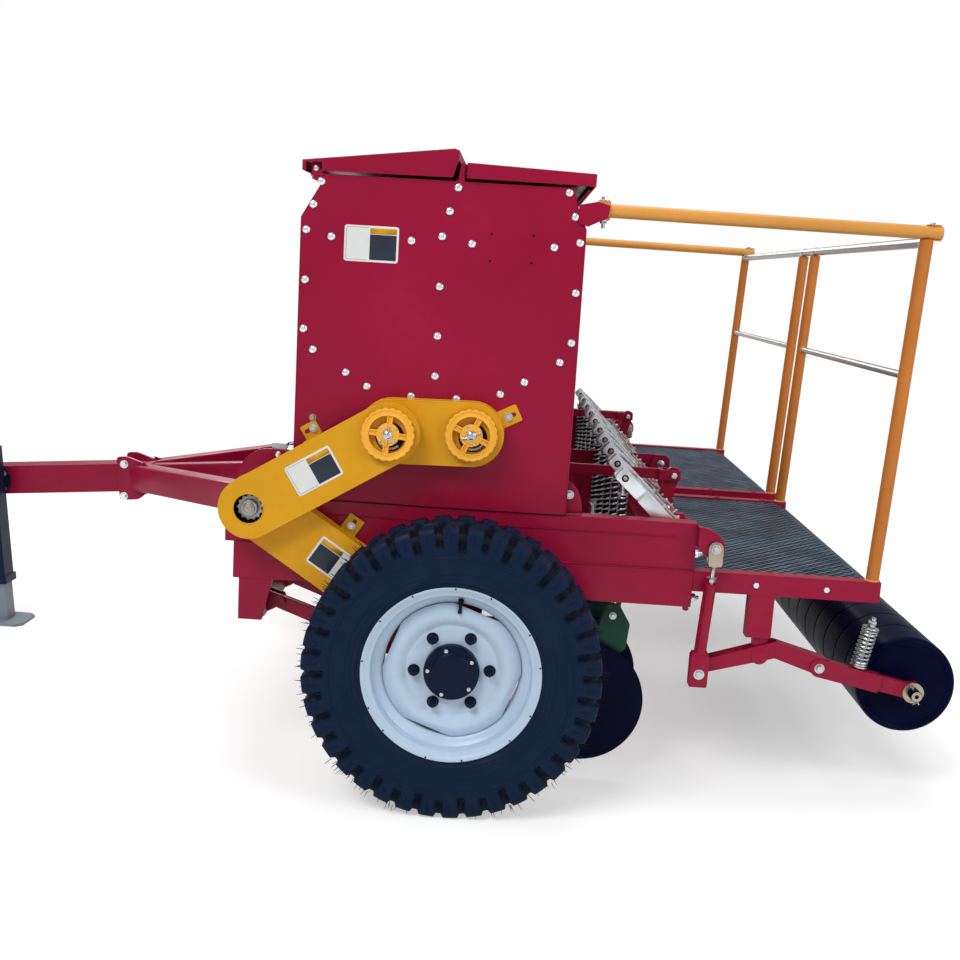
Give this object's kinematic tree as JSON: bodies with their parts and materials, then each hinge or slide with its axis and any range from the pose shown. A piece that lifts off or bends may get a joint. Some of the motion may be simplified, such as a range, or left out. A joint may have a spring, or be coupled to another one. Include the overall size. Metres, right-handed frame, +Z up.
{
  "type": "trailed seed drill",
  "caption": "Trailed seed drill with twin-tank grain hopper, disc openers, chain drive, rear standing platform with guard rails, ringed press roller and drawbar on a parking jack.",
  "frame": {"origin": "on the floor, under the middle of the overall length and width", "axes": "+X forward towards the hitch, +Y to the left side with the chain drive, +Z up"},
  "size_m": [3.46, 2.948, 1.656],
  "materials": {
    "crimson_paint": "satin paint over folded sheet and welded steel",
    "yellow_paint": "satin paint over pressed sheet",
    "rail_paint": "satin paint over steel tube",
    "wheel_paint": "off-white enamel",
    "tyre_rubber": "ribbed and lugged tyre rubber",
    "navy_paint": "gloss dark blue paint",
    "grey_paint": "satin grey paint",
    "green_paint": "satin dark green paint",
    "zinc": "bright zinc plate",
    "deck_paint": "worn slate-blue chequer plate",
    "black_paint": "gloss black paint",
    "black_hose": "black ribbed rubber",
    "orange_plastic": "moulded plastic"
  },
  "bodies": {
    "chassis": {"axle_brackets": "crimson_paint", "cross_beams": "crimson_paint", "drawbar": "crimson_paint", "end_plates": "crimson_paint", "guard_lower": "yellow_paint", "guard_rear": "yellow_paint", "guard_upper": "yellow_paint", "handwheels": "orange_plastic", "hitch_ears": "crimson_paint", "hopper_shell": "crimson_paint", "jack_tube": "navy_paint", "jackshaft": "zinc", "lift_lugs": "crimson_paint", "lift_rods": "zinc", "link_brackets": "crimson_paint", "metering_units": "green_paint", "platform_beams": "crimson_paint", "platform_plates": "deck_paint", "platform_ties": "crimson_paint", "rail_brackets": "crimson_paint", "rail_posts": "rail_paint", "rail_ties": "zinc", "rear_brackets": "crimson_paint", "rockshaft_bearings": "crimson_paint", "roller_links": "crimson_paint", "roller_struts": "crimson_paint", "seed_tubes": "black_hose", "side_beams": "crimson_paint", "tongue_frame": "crimson_paint", "toolbar": "crimson_paint", "top_rails": "rail_paint"},
    "wheel_left": {"tyre_left": "tyre_rubber", "rim_left": "wheel_paint", "hub_left": "black_paint"},
    "wheel_right": {"tyre_right": "tyre_rubber", "rim_right": "wheel_paint", "hub_right": "black_paint"},
    "front_lid": {"front_lid": "crimson_paint"},
    "rear_lid": {"rear_lid": "crimson_paint"},
    "jack_leg": {"jack_leg": "grey_paint"},
    "roller_frame": {"roller_levers": "crimson_paint", "roller_springs": "zinc"},
    "roller": {"roller": "navy_paint"},
    "opener_gang": {"drag_arms": "crimson_paint", "opener_boots": "green_paint"},
    "rockshaft": {"rockshaft": "crimson_paint", "pressure_levers": "zinc"},
    "pressure_rods": {"pressure_rods": "zinc", "pressure_springs": "zinc"},
    "lift_barrels": {"lift_barrels": "navy_paint"},
    "opener_disc_01": {"opener_disc_01": "navy_paint"},
    "opener_disc_02": {"opener_disc_02": "navy_paint"},
    "opener_disc_03": {"opener_disc_03": "navy_paint"},
    "opener_disc_04": {"opener_disc_04": "navy_paint"},
    "opener_disc_05": {"opener_disc_05": "navy_paint"},
    "opener_disc_06": {"opener_disc_06": "navy_paint"},
    "opener_disc_07": {"opener_disc_07": "navy_paint"},
    "opener_disc_08": {"opener_disc_08": "navy_paint"},
    "opener_disc_09": {"opener_disc_09": "navy_paint"},
    "opener_disc_10": {"opener_disc_10": "navy_paint"}
  },
  "joints": [
    {"name": "wheel_left_spin", "type": "hinge", "parent": "chassis", "child": "wheel_left", "pos_m": [-0.375, 1.382, 0.375], "axis": [0, 1, 0], "continuous": true},
    {"name": "wheel_right_spin", "type": "hinge", "parent": "chassis", "child": "wheel_right", "pos_m": [-0.375, -1.382, 0.375], "axis": [0, 1, 0], "continuous": true},
    {"name": "front_lid_hinge", "type": "hinge", "parent": "chassis", "child": "front_lid", "pos_m": [0.043, 0, 1.59], "axis": [0, 1, 0], "range_deg": [0, 85]},
    {"name": "rear_lid_hinge", "type": "hinge", "parent": "chassis", "child": "rear_lid", "pos_m": [-0.325, 0, 1.618], "axis": [0, 1, 0], "range_deg": [0, 95]},
    {"name": "jack_slide", "type": "slide", "parent": "chassis", "child": "jack_leg", "axis": [0.0837, 0, 0.9965], "range_m": [0, 0.12]},
    {"name": "roller_frame_hinge", "type": "hinge", "parent": "chassis", "child": "roller_frame", "pos_m": [-1.18, 0, 0.401], "axis": [0, 1, 0], "range_deg": [-5, 5]},
    {"name": "roller_spin", "type": "hinge", "parent": "roller_frame", "child": "roller", "pos_m": [-1.597, 0, 0.325], "axis": [0, 1, 0], "continuous": true},
    {"name": "opener_gang_hinge", "type": "hinge", "parent": "chassis", "child": "opener_gang", "pos_m": [0.117, 0, 0.44], "axis": [0, -1, 0], "range_deg": [0, 6]},
    {"name": "rockshaft_hinge", "type": "hinge", "parent": "chassis", "child": "rockshaft", "pos_m": [-0.95, 0, 0.699], "axis": [0, 1, 0], "range_deg": [0, 29.61]},
    {"name": "pressure_rod_hinge", "type": "hinge", "parent": "rockshaft", "child": "pressure_rods", "pos_m": [-0.795, 0, 0.844], "axis": [0, -1, 0], "range_deg": [0, 21.41]},
    {"name": "lift_slide", "type": "slide", "parent": "chassis", "child": "lift_barrels", "axis": [1, 0, 0], "range_m": [0, 0.05323]},
    {"name": "opener_disc_01_spin", "type": "hinge", "parent": "opener_gang", "child": "opener_disc_01", "pos_m": [-0.72, -1.149, 0.222], "axis": [0, 1, 0], "continuous": true},
    {"name": "opener_disc_02_spin", "type": "hinge", "parent": "opener_gang", "child": "opener_disc_02", "pos_m": [-0.72, -0.899, 0.222], "axis": [0, 1, 0], "continuous": true},
    {"name": "opener_disc_03_spin", "type": "hinge", "parent": "opener_gang", "child": "opener_disc_03", "pos_m": [-0.72, -0.649, 0.222], "axis": [0, 1, 0], "continuous": true},
    {"name": "opener_disc_04_spin", "type": "hinge", "parent": "opener_gang", "child": "opener_disc_04", "pos_m": [-0.72, -0.399, 0.222], "axis": [0, 1, 0], "continuous": true},
    {"name": "opener_disc_05_spin", "type": "hinge", "parent": "opener_gang", "child": "opener_disc_05", "pos_m": [-0.72, -0.149, 0.222], "axis": [0, 1, 0], "continuous": true},
    {"name": "opener_disc_06_spin", "type": "hinge", "parent": "opener_gang", "child": "opener_disc_06", "pos_m": [-0.72, 0.149, 0.222], "axis": [0, 1, 0], "continuous": true},
    {"name": "opener_disc_07_spin", "type": "hinge", "parent": "opener_gang", "child": "opener_disc_07", "pos_m": [-0.72, 0.399, 0.222], "axis": [0, 1, 0], "continuous": true},
    {"name": "opener_disc_08_spin", "type": "hinge", "parent": "opener_gang", "child": "opener_disc_08", "pos_m": [-0.72, 0.649, 0.222], "axis": [0, 1, 0], "continuous": true},
    {"name": "opener_disc_09_spin", "type": "hinge", "parent": "opener_gang", "child": "opener_disc_09", "pos_m": [-0.72, 0.899, 0.222], "axis": [0, 1, 0], "continuous": true},
    {"name": "opener_disc_10_spin", "type": "hinge", "parent": "opener_gang", "child": "opener_disc_10", "pos_m": [-0.72, 1.149, 0.222], "axis": [0, 1, 0], "continuous": true}
  ],
  "couplings": [
    {"joint": "rockshaft_hinge", "follows": "opener_gang_hinge", "ratio": 4.9333},
    {"joint": "pressure_rod_hinge", "follows": "opener_gang_hinge", "ratio": 3.5667},
    {"joint": "lift_slide", "follows": "opener_gang_hinge", "m_per_rad": 0.50738}
  ]
}
